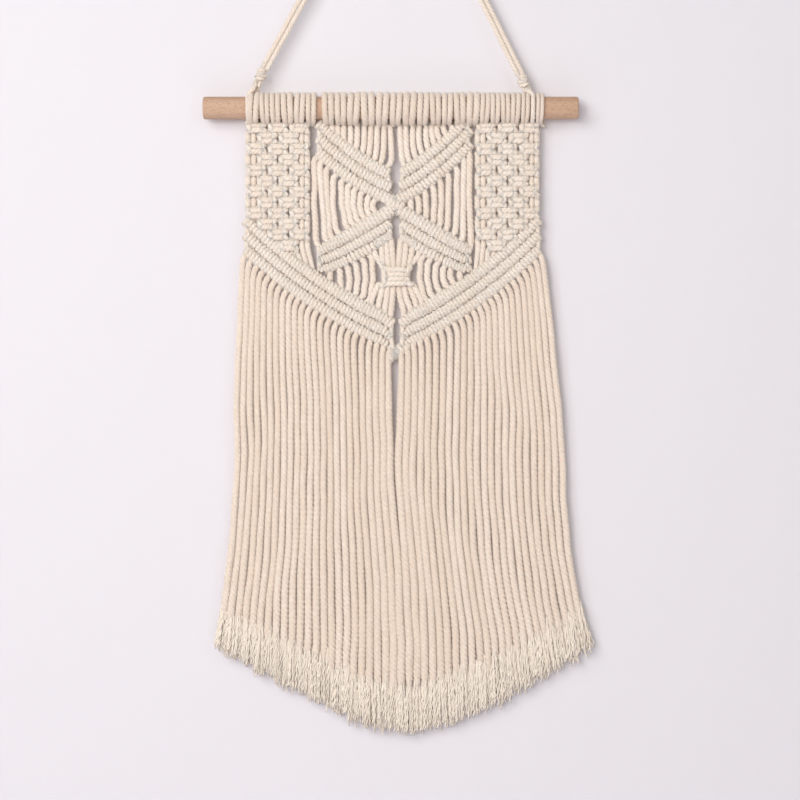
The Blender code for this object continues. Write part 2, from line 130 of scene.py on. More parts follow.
# Outermost and innermost fringe strands. Columns: drop, and how far from the middle they hang;
# the innermost ones have their side's sign
FRINGE_EDGE = {
    "left": (
        (123, 124.4), (154, 124.8), (178, 125.6), (202, 127.0), (234, 128.2), (274, 128.4),
        (314, 129.8), (354, 132.8), (394, 137.6), (418, 140.2), (470, 143.0),
    ),
    "right": (
        (123, 117.0), (138, 119.4), (154, 121.4), (178, 124.4), (202, 126.6), (234, 130.4),
        (274, 131.2), (314, 132.8), (354, 137.0), (394, 144.0), (418, 149.6), (470, 157.0),
    ),
}
FRINGE_MIDDLE = {
    "left": ((235, -6.5), (250, -6.3), (275, -4.8), (305, -4.2), (425, 3.4)),
    "right": ((235, 3.1), (250, 2.8), (275, 1.7), (305, 2.6), (425, 9.8)),
}
FRINGE_CLEAR = 235.0
# Where the fringe strands by the V's tip leave it, by strand
TIP_ROOTS = {
    "left": {23: -6.2, 22: -11.0, 21: -16.3, 20: -21.7, 19: -27.3},
    "right": {23: 2.9, 22: 7.9, 21: 13.1, 20: 18.4, 19: 23.8, 18: 29.4, 17: 35.0, 16: 40.6},
}

# The hanging cord's middle line, x and drop, over the nail
HANGER_ROUTE = (
    (-105.8, -31.6), (-95.7, -50.1), (-85.6, -68.6), (-75.4, -87.1), (-65.3, -105.6),
    (-55.2, -124.1), (-45.1, -142.6), (-34.9, -161.1), (-24.8, -179.6), (-14.7, -198.1),
    (-11.0, -202.6), (-6.0, -205.5), (-0.3, -206.4), (5.4, -205.2), (10.2, -202.1),
    (13.7, -197.5), (23.2, -178.5), (32.6, -159.4), (42.1, -140.4), (51.6, -121.4),
    (61.0, -102.3), (70.5, -83.3), (80.0, -64.3), (89.4, -45.2), (98.9, -26.2),
)
HANGER_STEP = 4.0
# Its two knots: upper and lower end, the loop's place on the dowel and its lean, hand and seed
CORD_KNOTS = {
    "left": ((-104.2, -35.6), (-112.4, -18.4), -119.0, 0.9, 1, 7),
    "right": ((97.0, -30.2), (104.4, -13.6), 108.4, -0.3, -1, 8),
}
# A cord's way into such a knot and out of it: up, aside and to the front
KNOT_ENTRY = ((9.5, 1.95, 0.0), (6.0, 1.6, 0.2), (2.5, 1.1, 0.9), (-1.5, 0.9, 1.3))
KNOT_EXIT = ((0.4, 0.6, -1.2), (-4.0, 1.2, -0.6), (-7.5, 1.7, 0.2), (-10.5, 1.6, 0.4))

# A square knot's working strands in front view: across, down and depth. Across is a share of half
# the knot's width, the rest is in mm.
KNOT_LEFT = (
    (-1.0, -4.3, 0.0), (-0.93, -3.0, -1.3), (-0.72, -2.25, -2.9), (-0.35, -2.1, -3.5),
    (0.0, -2.1, -3.6), (0.4, -2.05, -3.5), (0.72, -1.7, -2.4), (0.8, -0.6, -0.9),
    (0.8, 0.6, -0.9), (0.72, 1.7, -2.4), (0.4, 2.0, -3.5), (0.0, 2.1, -3.6),
    (-0.35, 2.1, -3.5), (-0.72, 2.3, -2.7), (-0.93, 3.1, -1.1), (-1.0, 4.3, 0.0),
)
KNOT_RIGHT = (
    (1.0, -4.3, 0.0), (0.97, -3.1, -2.2), (0.84, -1.9, -3.7), (0.68, -0.7, -2.0),
    (0.55, -0.3, 1.2), (0.2, -0.9, 3.4), (-0.3, -1.6, 3.2), (-0.7, -2.2, 1.0),
    (-0.86, -2.2, -1.8), (-0.82, -1.2, -3.9), (-0.8, 0.6, -4.1), (-0.78, 2.0, -3.0),
    (-0.62, 2.4, 0.4), (-0.2, 2.0, 3.2), (0.3, 1.2, 3.4), (0.62, 0.7, 0.8),
    (0.82, 1.4, -2.6), (0.93, 2.6, -3.4), (1.0, 4.3, 0.0),
)

# The nets: outer edge by side, strand spacing, drop of the first row of knots and row spacing
NET_EDGE = {-1: -121.4, 1: 114.2}
NET_PITCH = 4.3
NET_TOP = 15.5
NET_ROW = 8.58
NET_ROWS = 16

# A hitch's two turns round its leader: degrees, and the place along it in quarters of its width
HITCH_TURNS = (
    (-50, 0.0), (-5, -0.5), (45, -1.0), (90, -1.05), (135, -1.0), (180, -0.9), (230, -0.4),
    (280, 0.3), (325, 0.8), (360, 0.95), (405, 1.0), (450, 1.05), (495, 1.0), (540, 0.8), (585, 0.2),
)
# Reach of the innermost hitch in each row of a band, from its top row down
INNERMOST = {"upper": (9.0, 7.6, 3.4), "lower": (3.8, 7.6, 7.0), "v": (5.8, 6.4, 4.6)}
V_LEADER_ENDS = (3.8, 3.8, -0.6)

# The lights: name, place, size, watts and colour. They turn to the panel's middle
LIGHTS = (
    ("key, left", (-0.9, -1.6, 0.28), (0.9, 0.9), 14.5, (0.985, 0.975, 0.97)),
    ("key, right", (1.1, -2.1, 0.4), (1.0, 1.0), 4.0, (0.985, 0.975, 0.97)),
    ("fill, front", (-0.52, -2.45, -0.2), (1.0, 0.8), 25.0, (1.0, 0.935, 0.87)),
    ("fill, back", (0.4, 3.6, 0.4), (2.0, 2.0), 34.0, (1.0, 0.90, 0.79)),
)
LIT_POINT = (0.0, 0.0, -0.42)


def mix(a, b, t):
    return a + (b - a) * t


def sign_of(side):
    return -1 if side < 0 else 1


def wave(seed, values, amount, length):
    """A soft random wander along a strand, the same on every run."""
    dice = np.random.default_rng(seed)
    values = np.asarray(values, float)
    total = np.zeros_like(values)
    for share in (1.0, 0.5, 0.27):
        total += share * np.sin(values / (length * share) * TURN + dice.uniform(0, 6.28))
    return total * amount / 1.77


# Cord making


def lengths_along(line):
    """Distance of each point from the line's start."""
    return np.concatenate([[0], np.cumsum(np.linalg.norm(np.diff(line, axis=0), axis=1))])


def smooth_line(points, step):
    """Even steps along a smooth line through the given points; further columns come along."""
    points = np.asarray(points, float)
    gaps = np.maximum(np.linalg.norm(np.diff(points[:, :3], axis=0), axis=1), 1e-6) ** 0.5
    slopes = np.diff(points, axis=0) / gaps[:, None]
    tangents = np.empty_like(points)
    tangents[0], tangents[-1] = slopes[0], slopes[-1]
    before, after = gaps[:-1, None], gaps[1:, None]
    tangents[1:-1] = (slopes[:-1] * after + slopes[1:] * before) / (before + after)
    t = np.linspace(0, 1, 9)[:-1][None, :, None]
    a, b = points[:-1, None], points[1:, None]
    ta, tb = tangents[:-1, None] * gaps[:, None, None], tangents[1:, None] * gaps[:, None, None]
    fine = (
        (2 * t**3 - 3 * t**2 + 1) * a + (t**3 - 2 * t**2 + t) * ta
        + (3 * t**2 - 2 * t**3) * b + (t**3 - t**2) * tb
    ).reshape(-1, points.shape[1])
    fine = np.vstack([fine, points[-1]])
    along = lengths_along(fine[:, :3])
    places = np.linspace(0, along[-1], max(3, int(round(along[-1] / step)) + 1))
    return np.stack([np.interp(places, along, column) for column in fine.T], axis=1)


def carried_frames(line):
    """Two directions square to the line at each point, carried along it without turning."""
    tangents = np.gradient(line, axis=0)
    tangents /= np.maximum(np.linalg.norm(tangents, axis=1), 1e-9)[:, None]
    normals = np.empty_like(line)
    normal = np.cross(tangents[0], (0.3, 0.9, 0.2))
    for i, tangent in enumerate(tangents):
        normal = normal - tangent * (normal @ tangent)
        normal = normal / math.sqrt(normal @ normal)
        normals[i] = normal
    return normals, np.cross(tangents, normals)


def out_from_dowel(line):
    """The way out from the dowel's axis at each point of a line."""
    out = np.stack([np.zeros(len(line)), line[:, 1], line[:, 2] + NAIL_TO_DOWEL], axis=1)
    return out / np.maximum(np.linalg.norm(out, axis=1), 1e-6)[:, None]


class Bundle:
    """Cords gathered into one mesh; a higher tone paints them all darker, which on the heading and the fringe
    is painted shade.
    """

    def __init__(self, seed, tone_and_shade=0.1):
        self.tone_and_shade = tone_and_shade
        self.points, self.quads, self.caps, self.uvs, self.shades = [], [], [], [], []
        self.count = 0
        self.dice = np.random.default_rng(seed)

    def cord(self, route, step=1.7, profile=PLIES, lay=PLY_TURN, squeeze=None):
        """A twisted cord along a route of (x, y, drop, radius), pressed to the dowel by squeeze."""
        line = smooth_line(route, step)
        radii = line[:, 3]
        line = np.stack([line[:, 0], line[:, 1], -NAIL_TO_DOWEL - line[:, 2]], axis=1)
        normals, sides = carried_frames(line)
        along = lengths_along(line)
        rings, count = len(line), len(profile)
        angles = self.dice.uniform(0, TURN) - TURN * along[:, None] / lay
        angles = angles + TURN * np.arange(count)[None, :] / count
        out = radii[:, None, None] * profile[None, :, None] * (
            np.cos(angles)[..., None] * normals[:, None] + np.sin(angles)[..., None] * sides[:, None]
        )
        if squeeze is not None:
            way = out_from_dowel(line)[:, None]
            out = out - way * (out * way).sum(-1, keepdims=True) * (1 - squeeze)
        self.points.append(((line[:, None] + out) * MM).reshape(-1, 3))
        ring = np.arange(rings - 1)[:, None] * count
        k = np.arange(count)[None, :]
        k2 = (k + 1) % count
        quads = np.stack([ring + k, ring + k2, ring + count + k2, ring + count + k], axis=-1)
        self.quads.append(quads.reshape(-1, 4) + self.count)
        self.caps.append(self.count + np.arange(count)[::-1])
        self.caps.append(self.count + (rings - 1) * count + np.arange(count))
        u = self.dice.uniform(0, 40) + along / UV_LENGTH
        low, high, start, end = (
            np.broadcast_to(part, (rings - 1, count))
            for part in (k / count, (k + 1) / count, u[:-1, None], u[1:, None])
        )
        uv = np.stack([start, low, start, high, end, high, end, low], axis=-1)
        self.uvs.append(uv.reshape(-1, 2))
        self.shades.append(np.full(rings * count, self.tone_and_shade + self.dice.uniform(0, 0.7)))
        self.count += rings * count

    def finish(self, name, material, *nodes):
        """The gathered cords as one smooth piece that rides on the frame in place of its nodes."""
        mesh = bpy.data.meshes.new(name)
        faces = np.vstack(self.quads).tolist() + [cap.tolist() for cap in self.caps]
        mesh.from_pydata(np.vstack(self.points).tolist(), [], faces)
        cap_corners = sum(len(cap) for cap in self.caps)
        uv = np.vstack([*self.uvs, np.zeros((cap_corners, 2))])
        layer = mesh.uv_layers.new(name="cord")
        layer.data.foreach_set("uv", uv.astype(np.float32).ravel())
        shade = mesh.attributes.new("shade", "FLOAT", "POINT")
        shade.data.foreach_set("value", np.concatenate(self.shades).astype(np.float32))
        mesh.polygons.foreach_set("use_smooth", [True] * len(mesh.polygons))
        mesh.materials.append(material)
        mesh.update()
        piece = bpy.data.objects.new(name, mesh)
        bpy.context.scene.collection.objects.link(piece)
        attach(piece, "root")
        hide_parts(*nodes)
        return piece


# Outlines of the knotwork


def hitch_reach(band, row, k):
    """Reach of the hitch that strand k makes in a row."""
    inner = INNERMOST[band][row]
    if band == "v":
        return float(np.interp(k, (-1, 11.5, 23), (123.6, 64.5, inner)))
    eighth = 17.8 if (band, row) == ("lower", 2) else mix(42.4, inner, 4 / 7)
    return float(np.interp(k, (-1, 4, 8, 11), (65.6, 42.4, eighth, inner)))


def v_tip(reach):
    """How much further down the V comes to its point."""
    return 6.0 * max(0.0, 1 - reach / 14) ** 2


def v_bottom(reach):
    return 195.2 - 0.36 * reach - 0.0022 * reach**2 + v_tip(reach)


def v_height(reach):
    height = np.interp(reach, (4, 15, 40, 100, 121), (27.0, 30.0, 31.8, 34.0, 36.0))
    return float(height) + v_tip(reach)


def band_edges(band, side, reach):
    """Drops of a band's upper and lower edge, and of the lines between its three rows."""
    if band == "upper":
        lift = 0.1 * reach if side > 0 else 0.0
        top = 50.6 - 0.44 * reach - 0.0043 * reach**2 - lift
        bottom = 79.9 - 0.354 * reach - 0.0043 * reach**2 - lift
        return top, mix(top, bottom, 0.34), mix(top, bottom, 0.67), bottom
    if band == "lower":
        top = 72.7 + 0.597 * reach
        v_top = v_bottom(reach) - v_height(reach)
        bottom = min(102.2 + 0.755 * reach - 0.00402 * reach**2, v_top - 1.0)
        return top, mix(top, bottom, 0.39), mix(top, bottom, 0.70), bottom
    bottom, height = v_bottom(reach), v_height(reach)
    first = min(8.2 + 0.045 * reach, height * 0.34)
    second = min(18.0 + 0.05 * reach, height * 0.67)
    return bottom - height, bottom - second, bottom - first, bottom


def band_x(band, side, reach):
    """The X's middle hangs a little to the left, so its right half reaches further in."""
    if band != "v" and side > 0:
        return side * reach - (3.0 if band == "upper" else 2.2) * max(0.0, 1 - reach / 61) ** 2
    return side * reach


def reach_at(band, side, x):
    """Reach of a band's point at x."""
    reach = x / side
    for _ in range(4):
        reach += (x - band_x(band, side, reach)) / side
    return reach


def row_point(band, side, row, reach):
    """Middle of a row at a reach: x, drop, and half the row's height."""
    edges = band_edges(band, side, reach)
    middle, half = (edges[row] + edges[row + 1]) / 2, (edges[row + 1] - edges[row]) / 2
    return np.array([band_x(band, side, reach), middle, half])


def row_frame(band, side, row, reach):
    """x, drop, half thickness square to the row, the way along it (to the right) and up from it."""
    here = row_point(band, side, row, reach)
    step = row_point(band, side, row, reach - 0.5) - row_point(band, side, row, reach + 0.5)
    along = step[:2] / np.linalg.norm(step[:2])
    if along[0] < 0:
        along = -along
    up = np.array([along[1], -along[0]])
    return here[0], here[1], here[2] * abs(along[0]), along, up


def hitch_turns(x, drop, half, along, up, wide, shift):
    """Two turns of a strand round a row's leader, side by side, seen as two bumps in front."""
    cord = half * 0.54
    ring = half * 1.26 - cord
    route = []
    for degrees, place in HITCH_TURNS:
        a, s = math.radians(degrees), wide * (place + shift)
        route.append((
            x + along[0] * s + up[0] * ring * math.cos(a),
            PANEL_Y - 0.64 * ring * math.sin(a),
            drop + along[1] * s + up[1] * ring * math.cos(a),
            cord,
        ))
    return route


def hitch_column(bundle, band, side, k, dice):
    """Strand k through the three rows of a band, hitched on each row's leader."""
    route = []
    for row in ROWS:
        reach = hitch_reach(band, row, k)
        spread = abs(hitch_reach(band, row, k - 1) - reach) * abs(side)
        x, drop, half, along, up = row_frame(band, side, row, reach)
        wide = spread / abs(along[0]) / 4
        half *= 1.0 + dice.uniform(-0.03, 0.03)
        route += hitch_turns(x, drop, half, along, up, wide, dice.uniform(-0.12, 0.12))
    route.append((x - up[0] * half * 0.3, PANEL_Y + half * 0.5, drop - up[1] * half * 0.3, half * 0.3))
    bundle.cord(route, step=2.0, lay=9.5)


def hitches_across(bundle, middle, along, steps, half, wide):
    """Hitches side by side on a line through a point, where one band passes over another."""
    middle, along = np.array(middle), np.array(along)
    up = np.array([along[1], -along[0]])
    for step in steps:
        x, drop = middle + along * step
        bundle.cord(hitch_turns(x, drop, half, along, up, wide, 0.0), step=2.0, lay=9.5)


def leader_cord(bundle, band, side, row, outer, inner):
    """The cord that a row's hitches are tied on."""
    route = []
    for reach in np.linspace(outer, inner, 9):
        x, drop, half, along, up = row_frame(band, side, row, reach)
        route.append((x, PANEL_Y, drop, half * 0.5))
    bundle.cord(route, step=2.4, lay=11.0)


def turned_edge(bundle, band, side, stops):
    """A leader that turns down at a band's end and joins the next rows, from (row, reach) stops."""
    route = []
    for row, reach in stops:
        x, drop, half, along, up = row_frame(band, side, row, reach)
        route.append((x, PANEL_Y - 0.8, drop, 2.2))
    bundle.cord(route, step=1.8, lay=11.0)


def entry_point(band, side, row, reach, depth=0.6, out=1.0):
    """Where a strand goes in above a row, or comes out below it when out is negative."""
    x, drop, half, along, up = row_frame(band, side, row, reach)
    return (x, PANEL_Y + depth, drop - 0.66 * half * out / abs(along[0]))


def strand_end(band, side, row, away, out=1.0):
    """The same for a strand whose distance from the middle is known."""
    return entry_point(band, side, row, reach_at(band, side, away * sign_of(side)), 0.2, out)


# Materials


def linear(code):
    """Linear colour of an sRGB hex value."""
    parts = [int(code[i:i + 2], 16) / 255 for i in (1, 3, 5)]
    return tuple(c / 12.92 if c <= 0.04045 else ((c + 0.055) / 1.055) ** 2.4 for c in parts) + (1.0,)


def add_node(tree, kind, inputs=None, **settings):
    """A shader node with its settings, and with each input set to a value or linked to an output."""
    node = tree.nodes.new("ShaderNode" + kind)
    for name, value in settings.items():
        setattr(node, name, value)
    for name, value in (inputs or {}).items():
        if isinstance(value, bpy.types.NodeSocket):
            tree.links.new(value, node.inputs[name])
        else:
            node.inputs[name].default_value = value
    return node


def new_material(name):
    material = bpy.data.materials.new(name)
    material.use_nodes = True
    tree = material.node_tree
    tree.nodes.clear()
    return material, tree


def cotton_cord(name, colours, brushed):
    """Undyed three-ply cotton, spun soft and left unbleached: matt, warm, a little hairy."""
    material, tree = new_material(name)
    uv = add_node(tree, "UVMap", uv_map="cord")
    split = add_node(tree, "SeparateXYZ", {"Vector": uv.outputs[0]})
    along, around = split.outputs["X"], split.outputs["Y"]
    body = add_node(tree, "TexCoord").outputs["Object"]
    # the plies turn once in 12 mm and their own yarns are turned back as much, so that the yarns
    # run along the cord: 22 of them round it, each 0.8 mm wide, and seen for about 9 mm
    straight = add_node(
        tree, "Math", {0: along, 1: -UV_LENGTH / PLY_TURN, 2: around}, operation="MULTIPLY_ADD"
    )
    angle = add_node(tree, "Math", {0: straight.outputs[0], 1: TURN}, operation="MULTIPLY")
    cosine = add_node(tree, "Math", {0: angle.outputs[0]}, operation="COSINE")
    sine = add_node(tree, "Math", {0: angle.outputs[0]}, operation="SINE")
    ring = add_node(tree, "CombineXYZ", {"X": cosine.outputs[0], "Y": sine.outputs[0], "Z": along})
    scaled = add_node(tree, "Mapping", {"Vector": ring.outputs[0], "Scale": (3.5, 3.5, 11.0)})
    yarns = add_node(
        tree, "TexNoise", {"Vector": scaled.outputs[0], "Scale": 1.0, "Detail": 2.0, "Roughness": 0.65}
    )
    # slubs and soiling 6 mm long, and lint 1.4 mm across and finer
    slubs = add_node(tree, "TexNoise", {"Vector": body, "Scale": 160.0, "Detail": 1.0})
    lint = add_node(tree, "TexNoise", {"Vector": body, "Scale": 700.0, "Detail": 3.0, "Roughness": 0.75})
    # each cord's own shade, which on the heading and the fringe holds painted shade as well, and on it the
    # yarns, the slubs and the lint
    tone_and_shade = add_node(tree, "Attribute", attribute_name="shade").outputs["Fac"]
    for pattern, weight in ((yarns, 1.2), (slubs, 0.8), (lint, 2.6)):
        inputs = {0: pattern.outputs["Fac"], 1: weight, 2: tone_and_shade}
        tone_and_shade = add_node(tree, "Math", inputs, operation="MULTIPLY_ADD").outputs[0]
    ramp = add_node(tree, "MapRange", {"Value": tone_and_shade, "From Min": 2.0, "From Max": 3.6})
    base = add_node(
        tree, "Mix", {"Factor": ramp.outputs[0], "A": linear(colours[0]), "B": linear(colours[1])},
        data_type="RGBA",
    )
    reliefs = [(yarns.outputs["Fac"], 0.6, 0.0005), (lint.outputs["Fac"], 0.6, 0.0005)]
    if not brushed:
        # painted shade in the grooves between the plies, and in finer ones between their yarns, made uneven
        # by the lint
        grooves = []
        uneven = add_node(
            tree, "Math", {0: lint.outputs["Fac"], 1: 0.2, 2: around}, operation="MULTIPLY_ADD"
        )
        for count, depth in ((3, 0.3), (6, 0.4)):
            inputs = {0: uneven.outputs[0], 1: TURN * count, 2: -0.2 * count * math.pi}
            turned = add_node(tree, "Math", inputs, operation="MULTIPLY_ADD")
            crest = add_node(tree, "Math", {0: turned.outputs[0]}, operation="COSINE").outputs[0]
            inputs = {"Value": crest, "From Min": 0.3, "From Max": -1.0, "To Max": depth}
            grooves.append(add_node(tree, "MapRange", inputs).outputs[0])
        groove = add_node(tree, "Math", {0: grooves[0], 1: grooves[1]}, operation="ADD")
        # the groove colour is painted shade, mixed in where the grooves are
        inputs = {"Factor": groove.outputs[0], "A": base.outputs["Result"], "B": linear(colours[2])}
        base = add_node(tree, "Mix", inputs, data_type="RGBA")
        reliefs.append((crest, 0.4, 0.0003))
    normal = {}
    for height, strength, distance in reliefs:
        inputs = {"Height": height, "Strength": strength, "Distance": distance, **normal}
        normal = {"Normal": add_node(tree, "Bump", inputs).outputs[0]}
    shader = add_node(tree, "BsdfPrincipled", {
        "Base Color": base.outputs["Result"], "Roughness": 0.92, "IOR": 1.46, "Specular IOR Level": 0.2,
        "Sheen Weight": 0.5 if brushed else 0.25, "Sheen Roughness": 0.6,
        "Subsurface Weight": 0.0 if brushed else 0.75, "Subsurface Radius": (1.0, 0.95, 0.9),
        "Subsurface Scale": 0.0013, **normal,
    })
    add_node(tree, "OutputMaterial", {"Surface": shader.outputs[0]})
    return material


def beech_rod(colours):
    """Steamed beech, turned and sanded and left raw: straight pinkish grain with short dark flecks."""
    material, tree = new_material("sanded beech rod")
    body = add_node(tree, "TexCoord").outputs["Object"]
    # along the rod: fine grain from 4 mm across down, growth bands 11 mm wide, and the rays, which
    # show as flecks up to 2.4 mm long and 0.4 mm wide
    patterns = []
    for scale, detail, roughness in (
        ((6.0, 260.0, 260.0), 4.0, 0.55), ((2.0, 90.0, 90.0), 1.0, 0.5), ((420.0, 2400.0, 2400.0), 0.0, 0.5),
    ):
        drawn = add_node(tree, "Mapping", {"Vector": body, "Scale": scale})
        inputs = {"Vector": drawn.outputs[0], "Scale": 1.0, "Detail": detail, "Roughness": roughness}
        patterns.append(add_node(tree, "TexNoise", inputs).outputs["Fac"])
    grain, bands, rays = patterns
    flecks = add_node(
        tree, "MapRange", {"Value": rays, "From Min": 0.62, "From Max": 0.75, "To Max": 0.6}
    )
    blend = add_node(tree, "Math", {0: grain, 1: 0.7, 2: bands}, operation="MULTIPLY_ADD")
    ramp = add_node(tree, "MapRange", {"Value": blend.outputs[0], "From Min": 0.55, "From Max": 1.15})
    inputs = {"Factor": ramp.outputs[0], "A": linear(colours[0]), "B": linear(colours[1])}
    wood = add_node(tree, "Mix", inputs, data_type="RGBA")
    inputs = {"Factor": flecks.outputs[0], "A": wood.outputs["Result"], "B": linear(colours[2])}
    flecked = add_node(tree, "Mix", inputs, data_type="RGBA")
    bump = add_node(tree, "Bump", {"Height": grain, "Strength": 0.3, "Distance": 0.0002})
    shader = add_node(tree, "BsdfPrincipled", {
        "Base Color": flecked.outputs["Result"], "Normal": bump.outputs[0],
        "Roughness": 0.62, "IOR": 1.5, "Specular IOR Level": 0.35,
    })
    add_node(tree, "OutputMaterial", {"Surface": shader.outputs[0]})
    return material


def wall_paint(code, see_through_back):
    """Flat emulsion with a roller's 2 mm stipple. The wall's is clear from behind, and lets the
    light from behind through, so that the hanging's back shows."""
    material, tree = new_material("flat wall paint" if see_through_back else "pale floor paint")
    body = add_node(tree, "TexCoord").outputs["Object"]
    roller = add_node(tree, "TexNoise", {"Vector": body, "Scale": 500.0, "Detail": 2.0})
    bump = add_node(tree, "Bump", {"Height": roller.outputs["Fac"], "Strength": 0.05, "Distance": 0.0003})
    surface = add_node(tree, "BsdfPrincipled", {
        "Base Color": linear(code), "Roughness": 0.9, "Specular IOR Level": 0.15,
        "Normal": bump.outputs[0],
    })
    if see_through_back:
        behind = add_node(tree, "NewGeometry").outputs["Backfacing"]
        shadow = add_node(tree, "LightPath").outputs["Is Shadow Ray"]
        clear = add_node(tree, "BsdfTransparent")
        either = add_node(tree, "Math", {0: behind, 1: shadow}, operation="MAXIMUM")
        surface = add_node(
            tree, "MixShader", {0: either.outputs[0], 1: surface.outputs[0], 2: clear.outputs[0]}
        )
    add_node(tree, "OutputMaterial", {"Surface": surface.outputs[0]})
    return material


# Sizes and colours that a user would change


class MacrameSizes(bpy.types.PropertyGroup):
    """Sizes of the cords and of their unevenness."""

    cord: FloatProperty(
        name="Cord", description="Diameter of a free cord",
        default=0.0056, min=0.003, max=0.007, unit="LENGTH",
    )
    wander: FloatProperty(
        name="Wander", description="How far a hanging strand strays sideways",
        default=0.00035, min=0.0, max=0.003, unit="LENGTH",
    )
    brushed: FloatProperty(
        name="Brushed end", description="Length of the brushed-out ends",
        default=0.040, min=0.01, max=0.08, unit="LENGTH",
    )
    yarns: IntProperty(name="Yarns", description="Loose yarns in each brushed end", default=42, min=6, max=80)


class MacrameFinishes(bpy.types.PropertyGroup):
    """Colours, as sRGB hex values."""

    cotton_light: StringProperty(name="Cotton, light", description="Crowns of the plies", default="#F7F1EA")
    cotton_deep: StringProperty(name="Cotton, deep", description="Duller yarns", default="#E9DCCF")
    # painted shade for the grooves between the plies
    cotton_groove_shade: StringProperty(name="Cotton, grooves", description="Between the plies", default="#DCCAB9")
    brushed_light: StringProperty(name="Brushed ends, light", description="Loose yarns", default="#FDF5E9")
    brushed_deep: StringProperty(name="Brushed ends, deep", description="Duller yarns", default="#F4E7D8")
    beech_light: StringProperty(name="Beech, light", description="Early wood", default="#CDB09B")
    beech_deep: StringProperty(name="Beech, deep", description="Late wood", default="#B9977E")
    beech_fleck: StringProperty(name="Beech, flecks", description="Rays", default="#94694B")
    wall: StringProperty(name="Wall", description="Backdrop paint", default="#E0DFE6")


class MacrameStage(bpy.types.PropertyGroup):
    """The camera's place and the wall's."""

    distance: FloatProperty(
        name="Distance", description="Camera to panel", default=2.0, min=0.5, max=10.0, unit="LENGTH"
    )
    width: FloatProperty(
        name="Framed width", description="Width of the view at the panel",
        default=0.64, min=0.1, max=4.0, unit="LENGTH",
    )
    across: FloatProperty(
        name="Across", description="Camera's place along the dowel", default=0.0024, unit="LENGTH"
    )
    height: FloatProperty(
        name="Height", description="Camera's height against the nail", default=-0.4362, unit="LENGTH"
    )
    wall: FloatProperty(
        name="Wall", description="How far the wall is behind the dowel",
        default=0.0145, min=0.0, max=1.0, unit="LENGTH",
    )


def cotton(brushed=False):
    """The material of the cords, or of their brushed ends, each made once."""
    colours = bpy.context.scene.macrame_finishes
    name, tones = "natural cotton cord", (colours.cotton_light, colours.cotton_deep, colours.cotton_groove_shade)
    if brushed:
        name, tones = "brushed cotton yarn", (colours.brushed_light, colours.brushed_deep)
    return bpy.data.materials.get(name) or cotton_cord(name, tones, brushed)


# Operators, one for each group of like pieces


class MACRAME_OT_camera(bpy.types.Operator):
    """Set the camera square on to the panel"""

    bl_idname = "macrame.camera"
    bl_label = "Camera"

    def execute(self, context):
        stage = context.scene.macrame_stage
        sensor = 36.0
        bpy.ops.object.select_all(action="DESELECT")
        bpy.ops.object.camera_add(
            location=(stage.across, -stage.distance, stage.height), rotation=(math.pi / 2, 0, 0)
        )
        camera = context.object
        camera.name = "camera"
        camera.data.sensor_width = sensor
        camera.data.lens = sensor * stage.distance / stage.width
        camera.data.clip_start, camera.data.clip_end = 0.05, 30.0
        context.scene.camera = camera
        return {"FINISHED"}


def overhand_knot(bundle, upper, lower, hand):
    """A doubled overhand knot: each cord goes down inside, round the outside and down again."""
    upper, lower = np.array(upper, float), np.array(lower, float)
    up = (upper - lower) / np.linalg.norm(upper - lower)
    across = np.array([-up[1], up[0]])
    middle = (upper + lower) / 2
    for lane in (-1, 1):
        path = [(rise, aside * lane, front) for rise, aside, front in KNOT_ENTRY]
        for degrees in range(-60, 380, 36):
            a = math.radians(degrees)
            rise = mix(-3.2, 1.9, (degrees + 60) / 440) + 1.45 * lane
            path.append((rise, 3.3 * math.sin(a) * hand, 2.9 * math.cos(a)))
        path += [(rise, aside * lane, front) for rise, aside, front in KNOT_EXIT]
        route = []
        for rise, aside, front in path:
            x, drop = middle + up * rise + across * aside
            route.append((x, -front, drop, 1.95 if abs(rise) > 7 else 1.72))
        bundle.cord(route, step=1.6, lay=10.0)


def dowel_loop(bundle, top, x, lean):
    """From the knot down the front of the dowel, round it and up its back to the knot again."""
    above_dowel = -12.0
    route = [
        (top[0] - 0.2, -0.6, top[1] - 2.5, 1.9), (top[0] - 1.0, -1.6, top[1], 2.0),
        (mix(top[0], x, 0.4), -4.6, mix(top[1], above_dowel, 0.6), 2.1),
    ]
    for degrees in range(60, -270, -25):
        a = math.radians(degrees)
        ring = 11.2 if degrees < -150 else 11.0
        route.append((x + lean * (60 - degrees) / 330, -ring * math.cos(a), -ring * math.sin(a), 2.0))
    route.append((mix(top[0], x, 0.1) + 1.4, 2.6, mix(top[1], above_dowel, 0.55), 2.1))
    route.append((top[0] + 1.6, 0.8, top[1] - 2.5, 2.0))
    bundle.cord(route, squeeze=0.88)


class MACRAME_OT_hanging_cord(bpy.types.Operator):
    """Lay the doubled hanging cord over the nail, and tie it to the dowel with two knots"""

    bl_idname = "macrame.hanging_cord"
    bl_label = "Hanging cord"

    def execute(self, context):
        for name, (upper, lower, x, lean, hand, seed) in CORD_KNOTS.items():
            bundle = Bundle(seed)
            overhand_knot(bundle, upper, lower, hand)
            dowel_loop(bundle, lower, x, lean)
            bundle.finish("cord_loop_" + name, cotton(), "cord_knot_" + name)
        bundle = Bundle(3)
        line = smooth_line([(x, 0.0, drop) for x, drop in HANGER_ROUTE], HANGER_STEP)
        slope = np.gradient(line, axis=0)
        aside = np.stack([-slope[:, 2], slope[:, 1], slope[:, 0]], axis=1)
        aside /= np.linalg.norm(aside, axis=1)[:, None]
        for lane in (-1, 1):
            roll = wave(20 + lane, np.arange(len(line)) * HANGER_STEP, 0.35, 90.0)
            pair = line + aside * lane * 1.93
            pair[:, 1] += lane * roll
            bundle.cord(np.column_stack([pair, np.full(len(pair), 2.05)]), step=1.6, lay=11.5)
        cord = bundle.finish("hanging_pair", cotton(), "hanging_cord")
        return {"FINISHED"}


